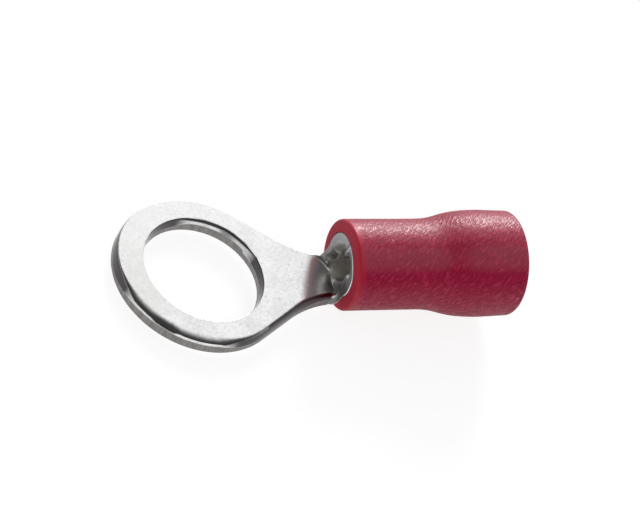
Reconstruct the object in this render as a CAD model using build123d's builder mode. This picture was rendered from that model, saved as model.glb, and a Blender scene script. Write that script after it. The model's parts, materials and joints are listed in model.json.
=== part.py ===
"""Insulated ring terminal: a stamped and rolled metal terminal with a plastic sleeve pressed over its barrel.

Millimetres. The origin is the centre of the stud hole on the underside of the tongue, +Z is the stud's axis
and +X runs along the neck to the end where the wire goes in.
"""
import os
from math import cos, degrees, radians, sin, tan

from build123d import *

# Strip and ring
stock = 0.88               # thickness of the strip
stud_hole_d = 6.5          # clearance hole for a 6 mm stud
ring_d = 9.4               # outside of the ring
ring_setback = 0.1         # the ring's outline lies this far towards the tip from the stud hole
edge_roll = 0.3            # rounding that stamping leaves along the upper edges
hole_roll = 0.24           # the same rounding round the stud hole

# Neck
neck_taper = 35.0          # angle of each side of the neck to the centre line, degrees
neck_width = 2.5           # width that the neck's sides run out to
neck_radius = 6.2          # curve that leads each tapered side into the neck
neck_length = 2.7          # from the ring's outline to the bend line where the flat tongue ends
bend_angle = 5.0           # the barrel rises from the tongue by this angle, degrees

# Crimp barrel
wire_bore_d = 1.7          # inside of the barrel
barrel_start = 0.35        # from the bend line to the mouth of the barrel, along the barrel
root_flare = 0.35          # the strip widens this much on each side between the bend line and the mouth
barrel_length = 5.15
barrel_lead_in = 0.2       # chamfer inside the end where the bare wire goes in
seam_gap = 0.08            # slit between the butted edges on top of the barrel

# Sleeve
mouth_proud = 0.03         # the mouth of the barrel stands this far out of the sleeve
sleeve_length = 9.85
sleeve_d = 4.86            # outside over the barrel
sleeve_fit = 0.02          # clearance round the barrel
entry_d = 5.8              # outside of the wide end, at its fullest
entry_bore_d = 4.4         # inside of the wide end
rim_d = 5.7                # outside at the very end, which draws in a little
step_start = 4.25          # from the sleeve's front to where it starts to widen
step_length = 3.9          # from there to its fullest point
step_lead = 1.6            # pull of the curve at the narrow end of the step
step_tail = 2.5            # pull of the curve at the wide end of the step
front_round = 0.22         # outer edge round the barrel's mouth
rim_round = 0.2            # outer edge of the wide end
bore_round = 0.06          # inner edge of the wide end
bore_lead = 0.08           # chamfer inside the front, which slides over the barrel

# Places that follow from the sizes above
ring_r = ring_d / 2
neck_w = neck_width / 2
taper = radians(neck_taper)
bend = radians(bend_angle)
bore_r = wire_bore_d / 2
barrel_r = bore_r + stock
tangent_x = ring_r * sin(taper) - ring_setback
tangent_y = ring_r * cos(taper)
corner_x = tangent_x + (tangent_y - neck_w) / tan(taper)
neck_end = ring_r - ring_setback + neck_length
blank_x = max(neck_end, corner_x + neck_radius * tan(taper / 2)) + stock
axis_dir = (cos(bend), 0, sin(bend))
axis_point = (neck_end - barrel_r * sin(bend), 0, barrel_r * cos(bend))
section_plane = Plane(origin=axis_point, x_dir=(0, 1, 0), z_dir=axis_dir)
profile_plane = Plane(origin=axis_point, x_dir=axis_dir, z_dir=(0, -1, 0))
mouth_plane = section_plane.offset(barrel_start)
barrel_axis = Axis(axis_point, axis_dir)

os.makedirs("parts", exist_ok=True)

# Tongue: the flat ring and neck, with the upper edges rounded by the punch
with BuildPart() as tongue:
    with BuildSketch() as blank:
        with Locations((-ring_setback, 0)):
            Circle(ring_r)
        Polygon(
            (tangent_x, tangent_y),
            (corner_x, neck_w),
            (blank_x, neck_w),
            (blank_x, -neck_w),
            (corner_x, -neck_w),
            (tangent_x, -tangent_y),
            align=None,
        )
        fillet(blank.vertices().group_by(Axis.X)[-2], neck_radius)
        Circle(stud_hole_d / 2, mode=Mode.SUBTRACT)
    extrude(amount=stock)
    split(bisect_by=Plane.YZ.offset(neck_end), keep=Keep.BOTTOM)
    upper_edges = tongue.faces().sort_by(Axis.Z)[-1].edges()
    hole_edges = upper_edges.filter_by(lambda edge: edge.is_closed)
    neck_end_edges = upper_edges.group_by(Axis.X)[-1]
    fillet(upper_edges - hole_edges - neck_end_edges, edge_roll)
    fillet(hole_edges, hole_roll)

# Barrel: the strip rolled round until its edges meet on top
with BuildPart() as barrel:
    with BuildSketch(mouth_plane) as barrel_section:
        Circle(barrel_r)
        Circle(bore_r, mode=Mode.SUBTRACT)
        Rectangle(seam_gap, 2 * barrel_r, align=(Align.CENTER, Align.MIN), mode=Mode.SUBTRACT)
    extrude(amount=barrel_length)
    bore_edges = barrel.edges().filter_by(GeomType.CIRCLE).group_by(SortBy.RADIUS)[0]
    fillet(bore_edges.group_by(barrel_axis)[0], edge_roll)
    bore_edges = barrel.edges().filter_by(GeomType.CIRCLE).group_by(barrel_axis)[-1].group_by(SortBy.RADIUS)[0]
    chamfer(bore_edges, barrel_lead_in)

# Terminal: tongue and barrel are one strip, joined where the neck curls up into the lower part of the barrel
with BuildPart() as terminal:
    add(tongue.part)
    neck_face = tongue.faces().sort_by(Axis.X)[-1]
    root_half_width = neck_face.bounding_box().size.Y / 2 + root_flare
    root_half_angle = degrees(root_half_width / (bore_r + stock / 2))
    with BuildSketch(mouth_plane) as root_section:
        with BuildLine():
            outside = CenterArc((0, 0), barrel_r, -90 - root_half_angle, 2 * root_half_angle)
            inside = CenterArc((0, 0), bore_r, -90 - root_half_angle, 2 * root_half_angle)
            Line(outside @ 0, inside @ 0)
            Line(outside @ 1, inside @ 1)
        make_face()
        fillet(root_section.vertices().sort_by_distance((0, 0))[:2], edge_roll)
    extrude(amount=edge_roll + stock)
    loft(sections=[neck_face, root_section.sketch.face()])
    add(barrel.part)

terminal.part.label = "terminal"
export_step(terminal.part, "parts/terminal.step")

# Sleeve: a tube turned round the barrel's axis, wide at the wire's end
sleeve_front = barrel_start + mouth_proud
sleeve_back = sleeve_front + sleeve_length
step_a = sleeve_front + step_start
step_b = step_a + step_length
fit_r = barrel_r + sleeve_fit
front_wall = sleeve_d / 2 - fit_r
rim_wall = (rim_d - entry_bore_d) / 2
lead = min(bore_lead, front_wall / 4)
front, back, inner, outer = 0, -1, 0, -1
wall_corners = (
    (front, outer, min(front_round, front_wall / 2)),
    (back, outer, min(rim_round, rim_wall / 2)),
    (back, inner, min(bore_round, rim_wall / 4)),
)

with BuildPart() as sleeve:
    with BuildSketch(profile_plane) as wall:
        with BuildLine() as outline:
            Line((sleeve_front, fit_r + lead), (sleeve_front, sleeve_d / 2))
            Line((sleeve_front, sleeve_d / 2), (step_a, sleeve_d / 2))
            Bezier(
                (step_a, sleeve_d / 2),
                (step_a + step_lead, sleeve_d / 2),
                (step_b - step_tail, entry_d / 2),
                (step_b, entry_d / 2),
            )
            Line((step_b, entry_d / 2), (sleeve_back, rim_d / 2))
            Line((sleeve_back, rim_d / 2), (sleeve_back, entry_bore_d / 2))
            Line((sleeve_back, entry_bore_d / 2), (step_b, entry_bore_d / 2))
            Bezier(
                (step_b, entry_bore_d / 2),
                (step_b - step_tail, entry_bore_d / 2),
                (step_a + step_lead, fit_r),
                (step_a, fit_r),
            )
            Line((step_a, fit_r), (sleeve_front + lead, fit_r))
            Line((sleeve_front + lead, fit_r), (sleeve_front, fit_r + lead))
        make_face()
        for end, side, radius in wall_corners:
            fillet(wall.vertices().group_by(Axis.X)[end].sort_by(Axis.Y)[side], radius)
    revolve(axis=barrel_axis)

sleeve.part.label = "sleeve"
export_step(sleeve.part, "parts/sleeve.step")
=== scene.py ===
"""Dresses the insulated ring terminal: a stamped and rolled strip in bright tin, and its red sleeve.

Metres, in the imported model's own frame: Z is the axis of the stud hole and the neck runs along +X.
"""
import json
import logging
from dataclasses import dataclass
from enum import Enum
from functools import reduce
from math import asin, atan2, cos, pi, radians, sin, tan
from typing import Sequence, Union

import bpy
import numpy as np
from mathutils import Matrix, Vector
from mathutils.geometry import delaunay_2d_cdt


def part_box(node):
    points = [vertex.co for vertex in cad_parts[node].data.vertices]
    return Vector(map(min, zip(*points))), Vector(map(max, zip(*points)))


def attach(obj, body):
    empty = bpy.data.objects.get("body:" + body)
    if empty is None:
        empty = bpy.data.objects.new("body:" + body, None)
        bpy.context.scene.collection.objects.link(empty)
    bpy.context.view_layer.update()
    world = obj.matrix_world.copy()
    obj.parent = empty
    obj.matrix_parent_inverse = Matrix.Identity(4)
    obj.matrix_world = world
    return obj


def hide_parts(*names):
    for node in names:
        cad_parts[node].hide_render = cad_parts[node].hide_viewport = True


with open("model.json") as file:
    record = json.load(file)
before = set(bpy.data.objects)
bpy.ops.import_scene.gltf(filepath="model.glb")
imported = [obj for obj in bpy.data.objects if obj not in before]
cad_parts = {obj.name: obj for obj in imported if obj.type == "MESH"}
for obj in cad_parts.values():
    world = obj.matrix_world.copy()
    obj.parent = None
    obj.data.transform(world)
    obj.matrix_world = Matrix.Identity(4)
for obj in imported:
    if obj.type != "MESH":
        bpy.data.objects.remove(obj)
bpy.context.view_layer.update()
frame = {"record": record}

MM = 0.001
LOG = logging.getLogger("ring_terminal")
MOUNTS = {mount["name"]: mount for mount in frame["record"]["mounts"]}

Colour = tuple[float, float, float]
Place = tuple[float, float, float]
Span = tuple[float, float]
Row = tuple[float, ...]
Socket = bpy.types.NodeSocket
Feed = Union[float, Sequence[float], Socket]

# How torn an edge is: cut by the punch, drawn at the neck's root, butted at the seam, or whole.
CUT, DRAWN, BUTTED, WHOLE = 1.0, 0.9, 0.5, 0.0

# What changes all round the edges, by the way out of the metal in degrees from +X towards +Y: the share of
# the full rounding, how many millimetres down torn metal starts, and how far a smooth bright strip takes the
# place of torn metal low on the wall. The strip is a burnish kept on the near left side only, where it
# stands in for a reflected bright streak: partly real, partly painted highlight.
ROLL_SHARES = {
    0: 0.5, 90: 0.4, 150: 0.32, 180: 0.42, 205: 0.84, 230: 1.0, 250: 1.03, 265: 0.98, 285: 0.68, 325: 0.66,
    360: 0.5,
}
TEAR_STARTS = {
    0: 0.4, 90: 0.4, 150: 0.56, 180: 0.65, 200: 0.46, 215: 0.36, 250: 0.34, 268: 0.34, 285: 0.5, 325: 0.54,
    360: 0.4,
}
SHINE_SHARES = {196: 0.0, 206: 0.8, 221: 0.8, 228: 0.1, 236: 0.1, 241: 1.0, 268: 1.0, 282: 0.0}

# What changes along the neck, by millimetres from the stud hole: how many millimetres down torn metal
# starts, and the slope in degrees from which the rounding takes painted dark reflection.
NECK_TEAR_STARTS = {5.4: 0.52, 6.0: 0.40, 6.6: 0.32}
NECK_DARK_SLOPES = {4.6: 36.0, 6.0: 22.0}

# How strong the painted dark reflection on the ring's rounding gets, by how many millimetres down its torn
# metal starts.
RING_DARKNESS = {0.34: 0.77, 0.5: 1.0}


class Slot(Enum):
    """The record's material slots."""

    TIN = "tinned_metal"
    PLASTIC = "red_plastic"


class Trait(Enum):
    """Values that the terminal's mesh carries for its material."""

    TORN = "torn"
    # Painted dark reflection on the rounded edges, and painted shade at the far root.
    DARK = "dark"
    WING_END = "wing_end"
    INSIDE = "inside"


class Effect(Enum):
    """Surface effects that the materials share."""

    GRAIN = "grain"
    SPECKS = "specks"
    PATCH = "patch"


class Wiring:
    """Places and wires the nodes of one shader tree."""

    def __init__(self, tree: bpy.types.NodeTree) -> None:
        """Keeps the tree that is wired."""
        self.tree = tree

    def feed(self, node: bpy.types.Node, feeds: dict[Union[str, int], Feed]) -> None:
        """Fills a node's inputs.

        Args:
            node: The node.
            feeds: What goes into its inputs, by name or number: a plain value, or a socket to link from.
        """
        for key, value in feeds.items():
            if isinstance(value, Socket):
                self.tree.links.new(value, node.inputs[key])
            else:
                node.inputs[key].default_value = value

    def node(self, kind: str, feeds: dict[Union[str, int], Feed], **settings: object) -> bpy.types.Node:
        """Places one node.

        Args:
            kind: The node's type name.
            feeds: What goes into its inputs.
            settings: Properties of the node itself.

        Returns:
            The node.
        """
        made = self.tree.nodes.new(kind)
        for name, value in settings.items():
            setattr(made, name, value)
        self.feed(made, feeds)
        return made

    def math(self, operation: str, a: Feed, b: Feed = 0.0, c: Feed = 0.0) -> Socket:
        """Joins two or three numbers by a sum, product or the like."""
        return self.node("ShaderNodeMath", {0: a, 1: b, 2: c}, operation=operation).outputs[0]

    def product(self, *values: Feed) -> Socket:
        """Multiplies numbers together."""
        return reduce(lambda a, b: self.math("MULTIPLY", a, b), values)

    def rest(self, share: Feed) -> Socket:
        """What a share leaves of the whole."""
        return self.math("SUBTRACT", 1.0, share)

    def vector(self, operation: str, a: Feed, b: Feed) -> Socket:
        """Joins two vectors into a third."""
        return self.node("ShaderNodeVectorMath", {0: a, 1: b}, operation=operation).outputs[0]

    def measure(self, operation: str, a: Feed, b: Feed) -> Socket:
        """Works out a number from two vectors."""
        return self.node("ShaderNodeVectorMath", {0: a, 1: b}, operation=operation).outputs["Value"]

    def axis(self, vector: Feed, name: str) -> Socket:
        """One part of a vector: X, Y or Z."""
        return self.node("ShaderNodeSeparateXYZ", {0: vector}).outputs[name]

    def turned(self, vector: Feed, angle: Feed, axis: str) -> Socket:
        """A vector turned round one axis."""
        feeds = {"Vector": vector, "Angle": angle}
        return self.node("ShaderNodeVectorRotate", feeds, rotation_type=axis).outputs[0]

    def ramp(self, value: Feed, low: Feed, high: Feed, to_low: Feed = 0.0, to_high: Feed = 1.0) -> Socket:
        """Maps a value smoothly: low becomes to_low, high becomes to_high, and nothing goes past them."""
        feeds = {"Value": value, "From Min": low, "From Max": high, "To Min": to_low, "To Max": to_high}
        return self.node("ShaderNodeMapRange", feeds, interpolation_type="SMOOTHSTEP").outputs[0]

    def mix(self, factor: Feed, a: Feed, b: Feed) -> Socket:
        """Mixes two numbers by a factor."""
        return self.node("ShaderNodeMix", {0: factor, 2: a, 3: b}).outputs[0]

    def blend(self, factor: Feed, a: Feed, b: Feed) -> Socket:
        """Mixes two colours by a factor."""
        a, b = ((*c, 1.0) if isinstance(c, tuple) else c for c in (a, b))
        return self.node("ShaderNodeMix", {0: factor, 6: a, 7: b}, data_type="RGBA").outputs[2]

    def noise(self, vector: Feed, scale: Feed, detail: float = 2.0) -> bpy.types.Node:
        """Places a cloudy pattern."""
        return self.node("ShaderNodeTexNoise", {"Vector": vector, "Scale": scale, "Detail": detail})

    def bump(self, strength: Feed, distance: float, height: Socket) -> Socket:
        """Turns heights into a normal."""
        feeds = {"Strength": strength, "Distance": distance, "Height": height}
        return self.node("ShaderNodeBump", feeds).outputs[0]

    def millimetres(self) -> Socket:
        """The object's own coordinates in millimetres."""
        place = self.node("ShaderNodeTexCoord", {}).outputs["Object"]
        return self.vector("MULTIPLY", place, (1 / MM, 1 / MM, 1 / MM))

    def normal(self) -> Socket:
        """The way that the surface faces."""
        return self.node("ShaderNodeNewGeometry", {}).outputs["Normal"]

    def trait(self, trait: Trait) -> Socket:
        """A value that the mesh carries."""
        return self.node("ShaderNodeAttribute", {}, attribute_name=trait.value).outputs["Fac"]


@dataclass
class Effects:
    """The shared effects, each built once as a node group."""

    wide_share: float = 0.17
    grain_span: Span = (0.34, 0.68)
    spot_wobble: Place = (0.05, 0.05, 0.05)
    spot_least: float = 0.3
    spot_core: float = 0.45
    patch_core: float = 0.2

    def __post_init__(self) -> None:
        """Builds every group."""
        self.groups = {
            Effect.GRAIN: self._grain(),
            Effect.SPECKS: self._specks(),
            Effect.PATCH: self._patch(),
        }

    def place(self, wiring: Wiring, effect: Effect, vector: Feed, **feeds: Feed) -> bpy.types.Node:
        """Places an effect in a material.

        Args:
            wiring: The material's wiring.
            effect: Which effect.
            vector: The coordinates that it follows.
            feeds: What goes into its other inputs, by name.

        Returns:
            The group node.
        """
        return wiring.node("ShaderNodeGroup", {"Vector": vector, **feeds}, node_tree=self.groups[effect])

    def mask(self, wiring: Wiring, effect: Effect, vector: Feed, **feeds: Feed) -> Socket:
        """Places an effect for its mask alone."""
        return self.place(wiring, effect, vector, **feeds).outputs["Mask"]

    @staticmethod
    def _group(
        effect: Effect, numbers: Sequence[str], vectors: Sequence[str], outputs: Sequence[str]
    ) -> tuple[Wiring, dict[str, Socket], bpy.types.Node]:
        """Starts a group.

        Args:
            effect: The effect that it makes.
            numbers: The names of its inputs that take a number.
            vectors: The names of its inputs that take a vector.
            outputs: Its outputs' names, all plain values.

        Returns:
            The group's wiring, its inputs by name, and its output node.
        """
        tree = bpy.data.node_groups.new(effect.value, "ShaderNodeTree")
        for names, way, kind in (
            (vectors, "INPUT", "NodeSocketVector"),
            (numbers, "INPUT", "NodeSocketFloat"),
            (outputs, "OUTPUT", "NodeSocketFloat"),
        ):
            for name in names:
                tree.interface.new_socket(name=name, in_out=way, socket_type=kind)
        wiring = Wiring(tree)
        start = wiring.node("NodeGroupInput", {})
        given = {name: start.outputs[name] for name in (*vectors, *numbers)}
        return wiring, given, wiring.node("NodeGroupOutput", {})

    def _grain(self) -> bpy.types.NodeTree:
        """Fine mottling, mixed with a wider one by the coarseness.

        Returns:
            The group.
        """
        numbers, outputs = ("Scale", "Coarseness"), ("Mask", "Height")
        wiring, given, out = self._group(Effect.GRAIN, numbers, ("Vector",), outputs)
        fine = wiring.noise(given["Vector"], given["Scale"]).outputs[0]
        wide = wiring.noise(given["Vector"], wiring.product(given["Scale"], self.wide_share)).outputs[0]
        both = wiring.mix(given["Coarseness"], fine, wide)
        wiring.feed(out, {"Mask": wiring.ramp(both, *self.grain_span), "Height": fine})
        return wiring.tree

    def _specks(self) -> bpy.types.NodeTree:
        """Scattered spots of uneven size.

        Returns:
            The group.
        """
        wiring, given, out = self._group(Effect.SPECKS, ("Scale", "Size", "Amount"), ("Vector",), ("Mask",))
        wobble = wiring.noise(given["Vector"], given["Scale"]).outputs["Color"]
        shifted = wiring.vector("ADD", given["Vector"], wiring.vector("MULTIPLY", wobble, self.spot_wobble))
        cells = wiring.node("ShaderNodeTexVoronoi", {"Vector": shifted, "Scale": given["Scale"]})
        chance = wiring.node("ShaderNodeSeparateColor", {0: cells.outputs["Color"]})
        size = wiring.product(given["Size"], wiring.math("ADD", chance.outputs[1], self.spot_least))
        core = wiring.product(size, self.spot_core)
        spot = wiring.ramp(cells.outputs["Distance"], core, size, 1.0, 0.0)
        kept = wiring.math("LESS_THAN", chance.outputs[0], given["Amount"])
        wiring.feed(out, {"Mask": wiring.product(spot, kept)})
        return wiring.tree

    def _patch(self) -> bpy.types.NodeTree:
        """A soft patch round one place.

        Returns:
            The group.
        """
        wiring, given, out = self._group(Effect.PATCH, ("Reach",), ("Vector", "Centre"), ("Mask",))
        away = wiring.measure("DISTANCE", given["Vector"], given["Centre"])
        core = wiring.product(given["Reach"], self.patch_core)
        wiring.feed(out, {"Mask": wiring.ramp(away, core, given["Reach"], 1.0, 0.0)})
        return wiring.tree


def new_material(name: str) -> tuple[bpy.types.Material, Wiring, bpy.types.Node]:
    """Starts a material.

    Args:
        name: Its name.

    Returns:
        The material, its wiring and its Principled shader.
    """
    material = bpy.data.materials.new(name)
    material.use_nodes = True
    wiring = Wiring(material.node_tree)
    return material, wiring, material.node_tree.nodes["Principled BSDF"]


@dataclass(frozen=True)
class TinPlate:
    """Bright tin over copper: satin on the flats, a darker reddish band at the bend that is a painted
    reflection of the red sleeve, torn and dull low on the cut edges.

    Places and distances are millimetres in the frame.
    """

    bright: Colour = (0.985, 0.985, 0.988)
    mottle: Colour = (0.74, 0.74, 0.743)
    stain: Colour = (0.75, 0.735, 0.69)
    speck: Colour = (0.17, 0.155, 0.14)
    inside: Colour = (0.97, 0.962, 0.91)
    wing_end: Colour = (0.34, 0.335, 0.36)
    # Painted reflection of the red sleeve, for the band at the bend.
    painted_sleeve_reflection: Colour = (0.31, 0.262, 0.262)
    # Painted shade and painted dark reflection.
    dark: Colour = (0.085, 0.079, 0.084)
    # Painted reflection of the red sleeve in the dark rounded edges near the mouth.
    painted_red_reflection: Colour = (0.13, 0.09, 0.092)
    torn: Colour = (0.29, 0.277, 0.268)
    torn_spread: Span = (0.85, 1.2)
    polish: float = 0.12
    dullness: float = 0.20
    speck_roughness: float = 0.2
    inside_roughness: float = 0.5
    wing_end_roughness: float = 0.3
    torn_roughness: float = 0.5
    satin_metal: float = 0.62
    flat_span: Span = (0.95, 0.995)
    stain_place: Place = (-4.0, -0.6, 0.88)
    stain_share: float = 0.7
    dust_and_sheen_share: float = 0.3
    speck_place: Place = (5.6, -0.3, 0.88)
    speck_share: float = 0.75
    bend_skew: float = -0.4
    reflection_start: Span = (5.7, 6.2)
    reflection_end: Span = (6.4, 7.2)
    reflection_share: float = 0.75
    reflection_dullness: float = -0.45
    mirror_start: Span = (5.8, 6.15)
    # Painted shade inside the barrel's mouth, by the near root.
    painted_shade_place: Place = (7.5, -0.75, 1.2)
    painted_shade_share: float = 0.8
    red_reflection_along: Span = (4.6, 6.2)
    red_reflection_across: Span = (-0.6, 0.2)
    tear_stretch: Place = (7.0, 7.0, 1.2)
    tear_span: Span = (0.3, 0.75)
    relief: float = 0.12
    relief_height: float = 0.012 * MM

    def material(self, effects: Effects) -> bpy.types.Material:
        """Makes the finish.

        Args:
            effects: The shared effects.

        Returns:
            The material.
        """
        material, wiring, shader = new_material("tin_plate")
        place = wiring.millimetres()
        along, across = wiring.axis(place, "X"), wiring.axis(place, "Y")
        torn, dark, wing_end, inside = (wiring.trait(trait) for trait in Trait)

        grain = effects.place(wiring, Effect.GRAIN, place, Scale=5.5, Coarseness=0.4)
        colour = wiring.blend(grain.outputs["Mask"], self.mottle, self.bright)
        stained = effects.mask(wiring, Effect.PATCH, place, Centre=self.stain_place, Reach=3.4)
        blotch = effects.mask(wiring, Effect.GRAIN, place, Scale=3.2, Coarseness=0.2)
        stain = wiring.product(stained, wiring.rest(blotch), self.stain_share)
        colour = wiring.blend(stain, colour, self.stain)

        dust_and_sheen = effects.mask(wiring, Effect.SPECKS, place, Scale=2.6, Size=0.3, Amount=0.3)
        near_neck = effects.mask(wiring, Effect.PATCH, place, Centre=self.speck_place, Reach=1.0)
        cluster = effects.mask(wiring, Effect.SPECKS, place, Scale=4.5, Size=0.42, Amount=0.6)
        cluster = wiring.product(cluster, near_neck, self.speck_share)
        specks = wiring.math("MAXIMUM", wiring.product(dust_and_sheen, self.dust_and_sheen_share), cluster)
        colour = wiring.blend(specks, colour, self.speck)
        colour = wiring.blend(inside, colour, self.inside)
        colour = wiring.blend(wing_end, colour, self.wing_end)

        skew = wiring.math("MULTIPLY_ADD", across, self.bend_skew, along)
        # Painted reflection: a darker reddish band slanting across the neck at the bend stands in for the
        # red sleeve mirrored in the tin.
        leaving = wiring.ramp(skew, *self.reflection_end, self.reflection_share, 0.0)
        reflection_band = wiring.product(wiring.ramp(skew, *self.reflection_start), leaving)
        colour = wiring.blend(reflection_band, colour, self.painted_sleeve_reflection)
        # Painted shade: a dark patch inside the barrel's mouth by the near root, where shade falls, kept off
        # torn metal.
        shade_patch = effects.mask(wiring, Effect.PATCH, place, Centre=self.painted_shade_place, Reach=0.95)
        shade = wiring.product(shade_patch, wiring.rest(torn), self.painted_shade_share)
        colour = wiring.blend(shade, colour, self.dark)
        # Painted dark reflection on the rounded edges, from the dark trait. On the near side towards the
        # mouth it turns reddish, a painted reflection of the red sleeve.
        near_side = wiring.ramp(across, *self.red_reflection_across, 1.0, 0.0)
        near_mouth = wiring.product(wiring.ramp(along, *self.red_reflection_along), near_side)
        colour = wiring.blend(dark, colour, wiring.blend(near_mouth, self.dark, self.painted_red_reflection))

        stretched = wiring.vector("MULTIPLY", place, self.tear_stretch)
        lines = wiring.noise(stretched, scale=1.0, detail=3.0).outputs[0]
        shades = (tuple(spread * c for c in self.torn) for spread in self.torn_spread)
        colour = wiring.blend(torn, colour, wiring.blend(wiring.ramp(lines, *self.tear_span), *shades))

        rough = wiring.ramp(grain.outputs["Mask"], 0.0, 1.0, self.dullness, self.polish)
        rough = wiring.math("ADD", rough, wiring.product(specks, self.speck_roughness))
        rough = wiring.mix(inside, rough, self.inside_roughness)
        rough = wiring.mix(wing_end, rough, self.wing_end_roughness)
        rough = wiring.mix(torn, rough, self.torn_roughness)

        upright = wiring.math("ABSOLUTE", wiring.axis(wiring.normal(), "Z"))
        metal = wiring.ramp(upright, *self.flat_span, 1.0, self.satin_metal)
        metal = wiring.math("MAXIMUM", metal, wiring.ramp(skew, *self.mirror_start))
        # The painted reflection band also takes some metal away.
        metal = wiring.math("MULTIPLY_ADD", reflection_band, self.reflection_dullness, metal)

        height = wiring.mix(torn, grain.outputs["Height"], lines)
        normal = wiring.bump(self.relief, self.relief_height, height)
        wiring.feed(shader, {"Base Color": colour, "Roughness": rough, "Metallic": metal, "Normal": normal})
        return material


@dataclass(frozen=True)
class SoftPlastic:
    """Deep red soft plastic, satin, with fine marks running round it on the slant and a few pale flecks.

    Distances are millimetres. Those of the front are measured back from the sleeve's front edge.
    """

    body: Colour = (0.45, 0.002, 0.050)
    deep: Colour = (0.36, 0.001, 0.038)
    rubbed: Colour = (0.60, 0.030, 0.11)
    # Painted highlight on the rounded front edge.
    rim: Colour = (0.66, 0.022, 0.050)
    face: Colour = (0.72, 0.020, 0.078)
    fleck: Colour = (0.60, 0.30, 0.33)
    # Painted sheen on the sleeve, for faces turned up and towards the near side.
    dust_and_sheen: Colour = (0.80, 0.50, 0.54)
    roughness: float = 0.43
    roughness_spread: float = 0.08
    face_roughness: float = 0.7
    gloss: float = 0.58
    lean: float = radians(5)
    twist: float = 0.28
    mark_stretch: Place = (0.8, 1.0, 1.0)
    mark_span: Span = (0.5, 0.72)
    mark_height: float = 0.042 * MM
    front_edge: float = 7.86
    skin_start: Span = (-0.1, 0.5)
    skin_least: float = 0.15
    face_end: Span = (-0.2, -0.06)
    rim_highlight_end: Span = (-0.06, 0.45)
    rim_highlight_share: float = 0.6
    sheen_side: Place = (-0.074, -0.53, 0.845)
    sheen_span: Span = (0.945, 1.0)
    dust_and_sheen_share: float = 0.08
    fleck_share: float = 0.7

    def material(self, effects: Effects) -> bpy.types.Material:
        """Makes the finish.

        Args:
            effects: The shared effects.

        Returns:
            The material.
        """
        material, wiring, shader = new_material("red_soft_plastic")
        place = wiring.millimetres()
        level = wiring.turned(place, self.lean, "Y_AXIS")
        along = wiring.axis(level, "X")
        back = wiring.math("SUBTRACT", along, self.front_edge)
        slant = wiring.turned(level, wiring.product(along, self.twist), "X_AXIS")
        stretched = wiring.vector("MULTIPLY", slant, self.mark_stretch)
        marks = effects.place(wiring, Effect.GRAIN, stretched, Scale=5.4, Coarseness=0.08)
        cloud = effects.mask(wiring, Effect.GRAIN, place, Scale=5.0, Coarseness=0.2)
        colour = wiring.blend(cloud, self.deep, self.body)
        skin = wiring.ramp(back, *self.skin_start, self.skin_least, 1.0)
        strokes = wiring.product(wiring.ramp(marks.outputs["Height"], *self.mark_span), skin)
        colour = wiring.blend(strokes, colour, self.rubbed)

        # Painted sheen: faces turned up and towards the near side are paled, standing in for a soft
        # highlight.
        upward = wiring.measure("DOT_PRODUCT", wiring.normal(), self.sheen_side)
        colour = wiring.blend(wiring.ramp(upward, *self.sheen_span, 0.0, self.dust_and_sheen_share), colour, self.dust_and_sheen)
        front = wiring.ramp(back, *self.face_end, 1.0, 0.0)
        colour = wiring.blend(front, colour, self.face)
        # Painted highlight: a brighter red band round the rounded front edge, just behind the face.
        colour = wiring.blend(wiring.ramp(back, *self.rim_highlight_end, self.rim_highlight_share, 0.0), colour, self.rim)
        flecks = effects.mask(wiring, Effect.SPECKS, place, Scale=1.6, Size=0.16, Amount=0.35)
        colour = wiring.blend(wiring.product(flecks, self.fleck_share), colour, self.fleck)

        dullest, glossiest = self.roughness + self.roughness_spread, self.roughness - self.roughness_spread
        rough = wiring.ramp(marks.outputs["Mask"], 0.0, 1.0, dullest, glossiest)
        rough = wiring.mix(front, rough, self.face_roughness)
        normal = wiring.bump(skin, self.mark_height, marks.outputs["Height"])
        wiring.feed(shader, {"Base Color": colour, "Roughness": rough, "Normal": normal})
        shader.inputs["Specular IOR Level"].default_value = self.gloss
        return material


def make_object(
    name: str,
    points: np.ndarray,
    faces: Sequence[Sequence[int]],
    crease: float,
    traits: dict[Trait, np.ndarray],
) -> bpy.types.Object:
    """Makes a smooth mesh object.

    Args:
        name: The object's name.
        points: Its vertices.
        faces: Vertex numbers of each face, wound so that normals point out.
        crease: Edges that turn by more than this stay sharp.
        traits: Values at each vertex that the material reads.

    Returns:
        The object.
    """
    mesh = bpy.data.meshes.new(name)
    mesh.from_pydata([tuple(p) for p in points], [], [tuple(f) for f in faces])
    mesh.validate()
    mesh.shade_smooth()
    mesh.set_sharp_from_angle(angle=crease)
    for trait, values in traits.items():
        layer = mesh.attributes.new(trait.value, "FLOAT", "POINT")
        layer.data.foreach_set("value", np.asarray(values, np.float32))
    made = bpy.data.objects.new(name, mesh)
    bpy.context.collection.objects.link(made)
    return made


def read_off(table: dict[float, float], values: np.ndarray) -> np.ndarray:
    """Reads a table at some values, straight between its entries."""
    return np.interp(values, list(table), list(table.values()))


@dataclass
class CutEdge:
    """One closed edge of the flat strip.

    Place is where it runs and outward is the way out of the metal. Roll is the rounding of the upper corner,
    shine how far a smooth upright strip takes the place of its lower part, torn how torn the metal is below
    that, burr the height of the lumps on the rounding, and foot the rounding of the lower corner.
    """

    place: np.ndarray
    outward: np.ndarray
    roll: np.ndarray
    shine: np.ndarray
    torn: np.ndarray
    burr: np.ndarray
    foot: np.ndarray

    def inset(self, depth: Union[float, np.ndarray]) -> np.ndarray:
        """The edge moved into the metal by a depth."""
        return self.place - self.outward * np.reshape(depth, (-1, 1))

    @staticmethod
    def bearing(outward: np.ndarray) -> np.ndarray:
        """Ways out of the metal as degrees from +X towards +Y."""
        return np.degrees(np.arctan2(outward[:, 1], outward[:, 0])) % 360


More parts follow.
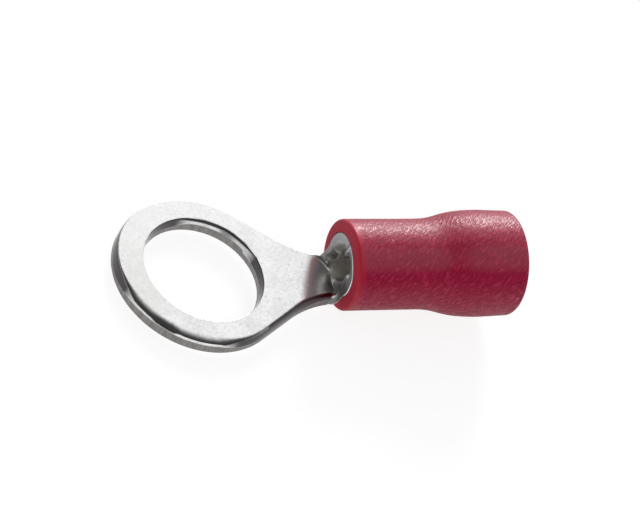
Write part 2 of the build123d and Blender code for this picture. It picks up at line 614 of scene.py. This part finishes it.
@dataclass
class StampedTerminal:
    """The metal piece: ring, neck and barrel cut from one strip and rolled up."""

    neck_taper: float = radians(35)
    neck_half_width: float = 1.25 * MM
    neck_radius: float = 6.2 * MM
    neck_share: float = 0.6
    mouth_start: float = 0.35 * MM
    far_early: float = 0.7 * MM
    bend_ease: float = 0.1 * MM
    least_curl: float = 1e-6
    root_radius: float = 0.45 * MM
    corner_radius: float = 0.05 * MM
    seam_gap: float = 0.03 * MM
    seam_glint: float = 0.1 * MM
    edge_roll: float = 0.39 * MM
    root_roll: float = 0.36 * MM
    lip_roll: float = 0.18 * MM
    wing_roll: float = 0.44 * MM
    seam_roll: float = 0.04 * MM
    rear_roll: float = 0.2 * MM
    soften_rounds: int = 3
    hole_roll: float = 0.16 * MM
    hole_roll_least: float = 0.3
    hole_shine: float = 0.85
    hole_steps: int = 160
    roll_end: float = radians(58)
    roll_steps: int = 12
    rim_margin: float = 1.12
    wing_depth: float = 0.60 * MM
    wing_slope: float = 1.4
    wing_fade: Span = (0.15, 0.85)
    shine_depth: float = 0.18 * MM
    ring_dark_slope: float = 52.0
    dark_fade: float = 14.0
    # Painted shade on the far root's rounding.
    far_root_shade: float = 0.8
    lump_height: float = 0.06 * MM
    lump_pitch: float = 0.22 * MM
    lump_reach: float = 0.75 * MM
    lump_shine: float = 0.5
    tear_step: float = 0.01 * MM
    tear_gap: float = 0.02 * MM
    tear_depth: float = 0.012 * MM
    tear_least: float = 0.4
    tear_seed: int = 7
    tear_width: int = 5
    tear_rows: Row = (1.0, 0.8, 0.6, 0.4, 0.2, 0.05)
    cut_foot: float = 0.03 * MM
    lip_foot: float = 0.1 * MM
    foot_torn: float = 0.5
    foot_turns: Row = (8, 22, 36, 50, 64, 78, 90)
    inside_span: Span = (0.3, 0.6)
    fine_before: float = 0.8 * MM
    fine_after: float = 0.5 * MM
    fine_step: float = 0.045 * MM
    coarse_step: float = 0.35 * MM
    cross_step: float = 0.1 * MM
    rim_clear: float = 0.05 * MM
    crease: float = radians(25)

    def __post_init__(self) -> None:
        """Reads the main sizes from the frame."""
        low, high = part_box("terminal")
        barrel = MOUNTS["wire_barrel"]
        axis, place = Vector(barrel["axis"]), Vector(barrel["pos_m"])
        self.lean = atan2(axis.z, axis.x)
        self.stock = MOUNTS["tongue_top"]["pos_m"][2]
        self.hole_radius = MOUNTS["stud_hole"]["dims"]["r_mm"] * MM
        self.ring_radius = high.y
        self.ring_x = low.x + high.y
        self.neck_x = self.ring_radius * self.neck_share
        self.mid_radius = barrel["dims"]["r_mm"] * MM + self.stock / 2
        self.outer_radius = self.mid_radius + self.stock / 2
        lowest = place - self.outer_radius * Vector((-axis.z, 0, axis.x))
        self.bend_x = lowest.x - lowest.z / tan(self.lean)
        self.mouth_x = self.bend_x + self.mouth_start
        self.rear_x = self.bend_x + (high.x - self.bend_x) / cos(self.lean)
        self.half_strip = pi * self.mid_radius - self.seam_gap / 2

    def build(self, finish: bpy.types.Material) -> bpy.types.Object:
        """Builds the piece and dresses it.

        Args:
            finish: Its material.

        Returns:
            The object, riding on the root.
        """
        rows: list[np.ndarray] = []
        faces: list[tuple[int, ...]] = []
        rims: list[tuple[np.ndarray, np.ndarray]] = []
        first = 0
        for edge in (self._outline(), self._hole()):
            edge_rows, count = self._edge_rows(edge), len(edge.place)
            last = first + (len(edge_rows) - 1) * count
            for here in range(first, last, count):
                for k in range(count):
                    n = (k + 1) % count
                    faces.append((here + k, here + n, here + count + n, here + count + k))
            rims.append((np.arange(first, first + count), np.arange(last, last + count)))
            rows += edge_rows
            first = last + count
        sheet = np.concatenate(rows)
        for side, height in enumerate((self.stock, 0.0)):
            extra, cells = self._fill(sheet[:, :2], [rim[side] for rim in rims])
            plain = np.zeros((len(extra), sheet.shape[1]))
            plain[:, :2], plain[:, 2] = extra, height
            sheet = np.concatenate([sheet, plain])
            faces += [cell if side == 0 else cell[::-1] for cell in cells]
        points, (torn, dark, wing_end) = sheet[:, :3], sheet[:, 3:].T
        low, high = self.inside_span
        upper = np.clip((points[:, 2] / self.stock - low) / (high - low), 0, 1)
        inside = np.clip((points[:, 0] - self.bend_x) / self.mouth_start, 0, 1) * upper
        traits = {Trait.TORN: torn, Trait.DARK: dark, Trait.WING_END: wing_end, Trait.INSIDE: inside}
        piece = make_object("stamped_terminal", self._roll_up(points), faces, self.crease, traits)
        piece.data.materials.append(finish)
        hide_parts("terminal")
        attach(piece, "root")
        return piece

    def _outline(self) -> CutEdge:
        """The outer edge of the flat strip, clockwise from the ring's tip.

        Returns:
            The edge.
        """
        runs: list[Row] = []

        def arc(centre: Span, radius: float, turn: Span, steps: int, roll: float, torn: float) -> None:
            """Adds an arc. Its way out turns between two angles, measured from +Y towards +X."""
            for way in ((sin(a), cos(a)) for a in np.linspace(*turn, steps)):
                runs.append((centre[0] + radius * way[0], centre[1] + radius * way[1], *way, roll, torn))

        def line(start: Span, end: Span, way: Span, steps: int, roll: float, torn: float) -> None:
            """Adds the inner points of a straight run."""
            for x, y in np.linspace(start, end, steps)[1:-1]:
                runs.append((x, y, *way, roll, torn))

        full, seam, rear = self.edge_roll, self.seam_roll, self.rear_roll
        taper, neck_r, root, corner = self.neck_taper, self.neck_radius, self.root_radius, self.corner_radius
        tangent = (self.ring_x + self.ring_radius * sin(taper), self.ring_radius * cos(taper))
        meet_x = tangent[0] + (tangent[1] - self.neck_half_width) / tan(taper)
        neck = (meet_x + neck_r * tan(taper / 2), self.neck_half_width + neck_r)
        neck_start = (neck[0] - neck_r * sin(taper), neck[1] - neck_r * cos(taper))
        root_turn = asin((neck[0] - self.mouth_x + root) / (neck_r - root))
        root_y = neck[1] - (neck_r - root) * cos(root_turn)
        edge_y, corner_y = self.half_strip, self.half_strip - corner
        front_x, back_x = self.mouth_x + corner, self.rear_x - corner

        arc((self.ring_x, 0), self.ring_radius, (-pi / 2, taper), 110, full, CUT)
        line(tangent, neck_start, (sin(taper), cos(taper)), 12, full, CUT)
        arc(neck, -neck_r, (taper, root_turn), 40, full, CUT)
        arc((self.mouth_x - root, root_y), -root, (root_turn, -pi / 2), 30, self.root_roll, DRAWN)
        line((self.mouth_x, root_y), (self.mouth_x, corner_y), (-1, 0), 40, self.wing_roll, WHOLE)
        arc((front_x, corner_y), corner, (-pi / 2, 0), 10, seam, WHOLE)
        line((front_x, edge_y), (back_x, edge_y), (0, 1), 30, seam, BUTTED)
        arc((back_x, corner_y), corner, (0, pi / 2), 10, seam, CUT)
        line((self.rear_x, corner_y), (self.rear_x, 0), (1, 0), 40, rear, CUT)
        upper = np.array(runs)
        lower = upper[:0:-1] * (1, -1, 1, -1, 1, 1)
        middle = np.array([(self.rear_x, 0, 1, 0, rear, CUT)])
        whole = np.concatenate([upper, middle, lower])
        place, outward, roll, torn = whole[:, :2], whole[:, 2:4], whole[:, 4], whole[:, 5]

        along = np.cumsum(np.linalg.norm(np.roll(place, -1, 0) - place, axis=1))
        from_root = np.hypot(place[:, 0] - self.mouth_x + root, place[:, 1] + root_y)
        on_lip = (from_root < self.lump_reach) & (torn < CUT)
        lumps = np.where(on_lip, np.maximum(np.sin(2 * pi * along / self.lump_pitch), 0), 0)
        foot = np.where(torn < CUT, np.minimum(self.lip_foot, roll), self.cut_foot)
        bearing = CutEdge.bearing(outward)
        roll = np.where(torn == CUT, roll * read_off(ROLL_SHARES, bearing), roll)
        # Steps in the rounding are evened out, and it gets wider nowhere.
        sharp = roll = np.where(on_lip, self.lip_roll, roll)
        for _ in range(self.soften_rounds):
            roll = np.minimum(sharp, (np.roll(roll, 1) + roll + np.roll(roll, -1)) / 3)
        on_ring = place[:, 0] < self.neck_x
        # On the ring the smooth strip, set by side, is partly a painted highlight. On the lumps it is their
        # own bright metal.
        shine = np.maximum(read_off(SHINE_SHARES, bearing) * on_ring, self.lump_shine * lumps)
        return CutEdge(place, outward, roll, shine, torn, self.lump_height * lumps, foot)

    def _hole(self) -> CutEdge:
        """The edge of the stud hole, wound the other way round.

        Returns:
            The edge.
        """
        turn = np.linspace(0, 2 * pi, self.hole_steps, endpoint=False)
        spoke = np.column_stack([np.cos(turn), np.sin(turn)])
        bearing, even = CutEdge.bearing(-spoke), np.ones(len(turn))
        least = self.hole_roll_least
        return CutEdge(
            place=spoke * self.hole_radius,
            outward=-spoke,
            roll=self.hole_roll * (least + (1 - least) * read_off(ROLL_SHARES, bearing)),
            shine=self.hole_shine * read_off(SHINE_SHARES, bearing),
            torn=CUT * even,
            burr=0 * even,
            foot=self.cut_foot * even,
        )

    def _edge_rows(self, edge: CutEdge) -> list[np.ndarray]:
        """The rows of points down a cut edge, from the upper face to the lower one.

        Args:
            edge: The edge.

        Returns:
            An array for each row: the place on the flat strip, how torn the metal is there, how much painted
                dark
            reflection and shade it takes, and how far it is a wing's end.
        """
        rng = np.random.default_rng(self.tear_seed)
        x, y = edge.place.T
        none = np.zeros(len(x))
        on_neck, far = x > self.neck_x, y > 0
        # Painted glint: next to the seam the near wing's end keeps bright tin in place of the end's grey.
        wing_end = np.where(y < self.seam_glint - self.half_strip, 0, 1 - edge.torn)
        ring_tear = read_off(TEAR_STARTS, CutEdge.bearing(edge.outward))
        tear = np.where(on_neck, read_off(NECK_TEAR_STARTS, x / MM), ring_tear) * MM
        deep = np.where(edge.torn == CUT, tear, np.minimum(self.wing_depth, self.wing_slope * edge.roll))
        depth = deep + (np.minimum(self.shine_depth, deep) - deep) * edge.shine
        bare = edge.torn * (1 - edge.shine)
        # Painted dark reflection: the rounding darkens from a given slope on, standing in for the dark room
        # mirrored there.
        dark_slope = np.where(on_neck, read_off(NECK_DARK_SLOPES, x / MM), self.ring_dark_slope)
        darkness = np.where(on_neck, 1, read_off(RING_DARKNESS, deep / MM))
        # Painted shade on the far root's rounding, next to the sleeve's front.
        root_shade = self.far_root_shade * (far & (edge.torn == DRAWN))
        darkness = np.where(edge.torn == CUT, darkness, root_shade)

        # The rounded upper corner
        rows = [(edge.roll * self.rim_margin, none + self.stock, none, none, none)]
        drop = 1 - cos(self.roll_end)
        fade_low, fade_high = self.wing_fade
        for turn in np.linspace(0, self.roll_end, self.roll_steps):
            share = (1 - cos(turn)) / drop
            slope = depth / edge.roll * np.tan(turn) * sin(self.roll_end) / drop
            dark = np.clip((np.degrees(np.arctan(slope)) - dark_slope) / self.dark_fade, 0, 1)
            late = np.clip((share - fade_low) / (fade_high - fade_low), 0, 1)
            inset = edge.roll * (1 - sin(turn) / sin(self.roll_end))
            height = self.stock - depth * share + edge.burr * sin(pi * share)
            rows.append((inset, height, none, dark * bare * darkness, late * wing_end))

        # The torn wall, and the small rounding at its foot
        low = self.stock - np.maximum(depth, deep * edge.torn) - self.tear_step
        rows.append((none, low, bare, none, wing_end))
        top = low - self.tear_gap
        width = self.tear_width
        for share in self.tear_rows:
            rough = np.convolve(rng.uniform(0, 1, len(x) + width - 1), np.ones(width) / width, "valid")
            inset = self.tear_depth * (self.tear_least + rough) * edge.torn
            rows.append((inset, edge.foot + (top - edge.foot) * share, edge.torn, none, wing_end))
        for turn in np.radians(self.foot_turns):
            inset, height = edge.foot * (1 - cos(turn)), edge.foot * (1 - sin(turn))
            # The foot's rounding takes the end's grey on the far side only. The near side's stays bright
            # tin, a painted highlight line.
            rows.append((inset, height, self.foot_torn * edge.torn, none, wing_end * far))
        rows.append((edge.foot * self.rim_margin, none, none, none, none))
        return [np.column_stack([edge.inset(inset), *values]) for inset, *values in rows]

    def _fill(
        self, points: np.ndarray, loops: Sequence[np.ndarray]
    ) -> tuple[np.ndarray, list[tuple[int, ...]]]:
        """Fills one face of the flat strip between its outer edge and the stud hole.

        Args:
            points: All points so far, along and across.
            loops: Vertex numbers of the outer edge and of the hole.

        Returns:
            The new points inside the face, and its triangles.
        """
        outer, hole = (points[loop] / MM for loop in loops)
        fine_end = self.mouth_x + self.fine_after
        x = np.concatenate([
            np.arange(self.bend_x - self.fine_before, fine_end, self.fine_step),
            np.arange(fine_end, self.rear_x, self.coarse_step),
        ])
        y = np.arange(-self.half_strip, self.half_strip, self.cross_step) + self.cross_step / 2
        grid = np.array([(a, b) for a in x for b in y]) / MM
        inside = np.zeros(len(grid), bool)
        for (x0, y0), (x1, y1) in zip(outer, np.roll(outer, -1, 0)):
            crosses = (y0 > grid[:, 1]) != (y1 > grid[:, 1])
            with np.errstate(divide="ignore", invalid="ignore"):
                inside ^= crosses & (grid[:, 0] < (x1 - x0) * (grid[:, 1] - y0) / (y1 - y0) + x0)
        grid = grid[inside]
        away = np.min(np.linalg.norm(grid[:, None] - outer[None], axis=2), axis=1)
        grid = grid[away > self.rim_clear / MM]

        known = np.concatenate([outer, hole, grid])
        numbers = np.concatenate([*loops, np.arange(len(points), len(points) + len(grid))])
        edges: list[tuple[int, int]] = []
        for loop in (outer, hole):
            start, count = len(edges), len(loop)
            edges += [(start + k, start + (k + 1) % count) for k in range(count)]
        inside_edges, merge = 1, 1e-6
        corners = [Vector(p) for p in known]
        _, _, cells, origins, _, _ = delaunay_2d_cdt(corners, edges, [], inside_edges, merge)
        hole_radius = np.min(np.linalg.norm(hole, axis=1))
        kept = []
        for cell in cells:
            ids = [origins[v][0] for v in cell]
            if np.linalg.norm(known[ids].mean(0)) > hole_radius:
                kept.append(tuple(int(numbers[i]) for i in ids))
        return grid * MM, kept

    def _roll_up(self, flat: np.ndarray) -> np.ndarray:
        """Bends the flat strip: the neck lifts by the lean and the wings curl into the barrel.

        Args:
            flat: Points along, across and up through the flat strip.

        Returns:
            The same points on the finished piece.
        """
        x, y, z = flat.T
        early = self.far_early * np.clip(y / self.neck_half_width, 0, 1) ** 2
        t = np.clip((x - self.bend_x + early) / (self.mouth_start + early), 0, 1)
        curl = np.maximum(t * t * (3 - 2 * t), self.least_curl) / self.mid_radius
        turn, up = curl * y, z - self.stock / 2
        across = np.sin(turn) / curl - up * np.sin(turn)
        height = self.stock / 2 + (1 - np.cos(turn)) / curl + up * np.cos(turn)
        ease = self.bend_ease
        radius = 2 * ease / self.lean
        swing = self.lean * np.clip((x - self.bend_x + ease) / (2 * ease), 0, 1)
        beyond = np.maximum(x - self.bend_x - ease, 0)
        ahead = np.minimum(x, self.bend_x - ease) + radius * np.sin(swing) + beyond * np.cos(swing)
        lift = radius * (1 - np.cos(swing)) + beyond * np.sin(swing)
        return np.column_stack([ahead - height * np.sin(swing), across, lift + height * np.cos(swing)])


@dataclass
class Sleeve:
    """The plastic tube over the barrel: narrow in front, wide where the wire goes in, and slightly wavering.

    A wave has its lobes round the tube, its turn per millimetre, its shift and its share of the waver.
    """

    front_gap: float = 0.38 * MM
    narrow_radius: float = 2.43 * MM
    fit_radius: float = 1.75 * MM
    rim_radius: float = 2.85 * MM
    step_start: float = 4.25 * MM
    step_length: float = 3.9 * MM
    step_lead: float = 1.6 * MM
    step_tail: float = 2.5 * MM
    step_points: int = 36
    front_round: float = 0.18 * MM
    face_setback: float = 0.03 * MM
    rim_round: float = 0.2 * MM
    bore_round: float = 0.06 * MM
    corner_points: int = 9
    row_gap: float = 0.02 * MM
    wide_gap: float = 0.05 * MM
    draw_in: Span = (0.1 * MM, 0.005 * MM)
    waver: float = 0.003 * MM
    waves: tuple[tuple[int, float, float, float], ...] = (
        (2, 0.9, 0.0, 1.0),
        (3, -1.3, 1.0, 0.6),
        (5, 2.1, 0.0, 0.4),
    )
    around: int = 180
    crease: float = radians(60)

    def __post_init__(self) -> None:
        """Reads the axis and the wide end from the frame."""
        entry, terminal = MOUNTS["wire_entry"], StampedTerminal()
        self.axis = Vector(entry["axis"])
        self.up = Vector((-self.axis.z, 0, self.axis.x))
        self.origin = Vector((terminal.bend_x, 0, 0)) + terminal.outer_radius * self.up
        self.entry_radius = entry["dims"]["r_mm"] * MM
        self.wide_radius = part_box("sleeve")[1].y
        straight = entry["dims"]["length_mm"] * MM / 2
        self.back = (Vector(entry["pos_m"]) - self.origin).dot(self.axis) + straight + self.bore_round

    def build(self, finish: bpy.types.Material) -> bpy.types.Object:
        """Builds the piece and dresses it.

        Args:
            finish: Its material.

        Returns:
            The object, riding on the root.
        """
        wall = self._wall()
        count = len(wall)
        origin, axis, up = (np.array(v) for v in (self.origin, self.axis, self.up))
        side = np.array((0.0, 1.0, 0.0))
        points, faces = [], []
        for k, a in enumerate(np.linspace(0, 2 * pi, self.around, endpoint=False)):
            spoke = side * sin(a) + up * cos(a)
            here, there = k * count, ((k + 1) % self.around) * count
            for j, (d, r) in enumerate(wall):
                wave = sum(w * sin(n * a + twist * d / MM + shift) for n, twist, shift, w in self.waves)
                points.append(origin + axis * d + spoke * (r + self.waver * wave))
                n = (j + 1) % count
                faces.append((here + j, here + n, there + n, there + j))
        piece = make_object("sleeve_tube", np.array(points), faces, self.crease, {})
        piece.data.materials.append(finish)
        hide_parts("sleeve")
        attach(piece, "root")
        return piece

    def _wall(self) -> np.ndarray:
        """The wall's closed section, starting inside at the front.

        Returns:
            Rows of distance along the axis and radius.
        """
        rows: list[Sequence[float]] = []

        def run(start: Span, end: Span, steps: int) -> None:
            """Adds a straight run without its end."""
            rows.extend(np.linspace(start, end, steps, endpoint=False))

        def corner(centre: Span, radius: float, start: float, end: float) -> None:
            """Adds a rounded corner, its angles in degrees from the axis towards the outside."""
            for a in np.radians(np.linspace(start, end, self.corner_points)):
                rows.append((centre[0] + radius * cos(a), centre[1] + radius * sin(a)))

        front, back = self.front_gap, self.back
        fit, entry, narrow, wide = self.fit_radius, self.entry_radius, self.narrow_radius, self.wide_radius
        step_a = front + self.step_start
        step_b = step_a + self.step_length
        t = np.linspace(0, 1, self.step_points)
        pulls = np.array([(1 - t) ** 3, 3 * t * (1 - t) ** 2, 3 * t * t * (1 - t), t ** 3])
        along = (step_a, step_a + self.step_lead, step_b - self.step_tail, step_b) @ pulls
        outer_step = np.column_stack([along, (narrow, narrow, wide, wide) @ pulls])
        inner_step = np.column_stack([along, (fit, fit, entry, entry) @ pulls])
        f, b, i = self.front_round, self.rim_round, self.bore_round
        shoulder = front + self.face_setback
        rim = self.rim_radius - b
        run((front, fit), (shoulder, narrow - f), 8)
        corner((shoulder + f, narrow - f), f, 180, 90)
        run((shoulder + f + self.wide_gap, narrow), (step_a, narrow), 30)
        rows.extend(outer_step)
        past_step, narrower = self.draw_in
        run((step_b + past_step, wide - narrower), (back - b, self.rim_radius), 8)
        corner((back - b, rim), b, 90, 0)
        run((back, rim - self.row_gap), (back, entry + i), 5)
        corner((back - i, entry + i), i, 0, -90)
        run((back - i - self.row_gap, entry), (step_b + self.row_gap, entry), 6)
        rows.extend(inner_step[::-1])
        run((step_a - self.wide_gap, fit), (front, fit), 10)
        return np.array(rows)


@dataclass(frozen=True)
class Lamp:
    """A round soft lamp: the way to it, its width, its power, and whether metal mirrors it."""

    name: str
    way: Place
    width: float
    power: float
    mirrored: bool


@dataclass
class Studio:
    """Floor, light and camera. The far side is bright and the near side is a dark room.

    Metal mirrors the floor by a share that changes across and along it: from one place to another in
    millimetres, then the share at each.
    """

    lens_mm: float = 137.8125
    sensor_mm: float = 36.0
    target: Vector = Vector((5.586, -0.926, 2.867)) * MM
    distance: float = 127 * MM
    azimuth: float = radians(-39.80)
    elevation: float = radians(43.82)
    roll: float = radians(32.70)
    lamps: tuple[Lamp, ...] = (
        Lamp("far_soft_lamp", (0.40, 0.805, 0.41), 0.17, 1.3, True),
        Lamp("near_fill_lamp", (-0.2, -0.8, 0.75), 0.3, 0.72, False),
    )
    lamp_distance: float = 0.5
    bright_side: Vector = Vector((0.433, 0.740, 0.516))
    bright_edge: float = -0.2
    bright_span: float = 1.16
    mirror_falloff: float = 2.5
    dark_room: float = 0.045
    soft_light: float = 0.50
    soft_dark: float = 0.07
    floor_half: float = 0.6
    floor_gap: float = 0.03 * MM
    floor_colour: Colour = (0.26, 0.26, 0.26)
    floor_glow: float = 0.37
    floor_seen: float = 0.84
    floor_across: Row = (-25.0, -4.0, 0.15, 1.0)
    floor_along: Row = (4.0, 9.0, 0.75, 0.42)
    resting_share: float = 0.52

    def build(self) -> None:
        """Builds the whole studio."""
        self._floor()
        self._world()
        for lamp in self.lamps:
            self._hang(lamp)
        self._camera()
        bpy.context.scene.view_settings.view_transform = "Standard"

    def _floor(self) -> None:
        """Lays the floor under the ring's tip and the sleeve's wide end."""
        tip = Vector((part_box("terminal")[0].x, 0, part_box("terminal")[0].z))
        low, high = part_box("sleeve")
        rest = Vector((low.x + self.resting_share * (high.x - low.x), 0, low.z))
        tilt = atan2(rest.z - tip.z, rest.x - tip.x)
        h = self.floor_half
        corners = [Vector((x, y, 0)) for x, y in ((-h, -h), (h, -h), (h, h), (-h, h))]
        placed = Matrix.Translation(tip - Vector((0, 0, self.floor_gap))) @ Matrix.Rotation(-tilt, 4, "Y")
        floor = make_object("floor", np.array([placed @ c for c in corners]), [(0, 1, 2, 3)], pi, {})
        material, wiring, shader = new_material("pale_floor")
        ray = wiring.node("ShaderNodeLightPath", {}).outputs
        seen = wiring.math("MAXIMUM", ray["Is Camera Ray"], ray["Is Transmission Ray"])
        glow = wiring.mix(seen, self.floor_glow, self.floor_seen)
        place = wiring.millimetres()
        across = wiring.ramp(wiring.axis(place, "Y"), *self.floor_across)
        mirrored = wiring.product(wiring.ramp(wiring.axis(place, "X"), *self.floor_along), across)
        wiring.feed(shader, {
            "Base Color": (*self.floor_colour, 1),
            "Roughness": 0.9,
            "Specular IOR Level": 0.1,
            "Emission Color": (1, 1, 1, 1),
            "Emission Strength": wiring.mix(ray["Is Glossy Ray"], glow, mirrored),
        })
        floor.data.materials.append(material)

    def _world(self) -> None:
        """Surrounds the object with white on the far side and a dark room on the near side."""
        world = bpy.data.worlds.new("studio")
        bpy.context.scene.world = world
        world.use_nodes = True
        wiring = Wiring(world.node_tree)
        ray = wiring.node("ShaderNodeLightPath", {}).outputs
        way = wiring.node("ShaderNodeTexCoord", {}).outputs["Generated"]
        facing = wiring.measure("DOT_PRODUCT", way, self.bright_side.normalized())
        share = wiring.product(wiring.math("SUBTRACT", facing, self.bright_edge), 1 / self.bright_span)
        share = wiring.math("MAXIMUM", share, 0.0)
        mirrored = wiring.math("ADD", wiring.math("POWER", share, self.mirror_falloff), self.dark_room)
        soft = wiring.math("MULTIPLY_ADD", share, self.soft_light, self.soft_dark)
        seen = wiring.math("MAXIMUM", ray["Is Camera Ray"], ray["Is Transmission Ray"])
        level = wiring.math("MAXIMUM", wiring.mix(ray["Is Glossy Ray"], soft, mirrored), seen)
        wiring.feed(world.node_tree.nodes["Background"], {"Color": (1, 1, 1, 1), "Strength": level})

    def _hang(self, lamp: Lamp) -> None:
        """Hangs one lamp, facing the object.

        Args:
            lamp: The lamp.
        """
        light = bpy.data.lights.new(lamp.name, "AREA")
        light.shape, light.size, light.energy = "DISK", lamp.width, lamp.power
        way = Vector(lamp.way)
        made = bpy.data.objects.new(lamp.name, light)
        made.location = self.target + way.normalized() * self.lamp_distance
        made.rotation_mode = "QUATERNION"
        made.rotation_quaternion = way.to_track_quat("Z", "Y")
        made.visible_glossy = lamp.mirrored
        bpy.context.collection.objects.link(made)

    def _camera(self) -> None:
        """Sets the camera at the photograph's angle."""
        a, e = self.azimuth, self.elevation
        back = Vector((sin(a) * cos(e), -cos(a) * cos(e), sin(e)))
        right = Vector((cos(a), sin(a), 0))
        right.rotate(Matrix.Rotation(self.roll, 3, back))
        camera = bpy.data.cameras.new("camera")
        camera.sensor_width, camera.lens = self.sensor_mm, self.lens_mm
        camera.clip_start, camera.clip_end = 1 * MM, 10
        made = bpy.data.objects.new("camera", camera)
        turn = Matrix((right, back.cross(right), back)).transposed().to_4x4()
        made.matrix_world = Matrix.Translation(self.target + back * self.distance) @ turn
        bpy.context.collection.objects.link(made)
        bpy.context.scene.camera = made


def main() -> None:
    """Builds the pieces in order, then the studio, and notes the sizes."""
    logging.basicConfig(level=logging.INFO, format="%(name)s: %(message)s")
    effects = Effects()
    terminal = StampedTerminal().build(TinPlate().material(effects))
    LOG.info("%s: %d faces", terminal.name, len(terminal.data.polygons))
    sleeve = Sleeve().build(SoftPlastic().material(effects))
    LOG.info("%s: %d faces", sleeve.name, len(sleeve.data.polygons))
    Studio().build()
    LOG.info("studio ready")


if __name__ == "__main__":
    main()
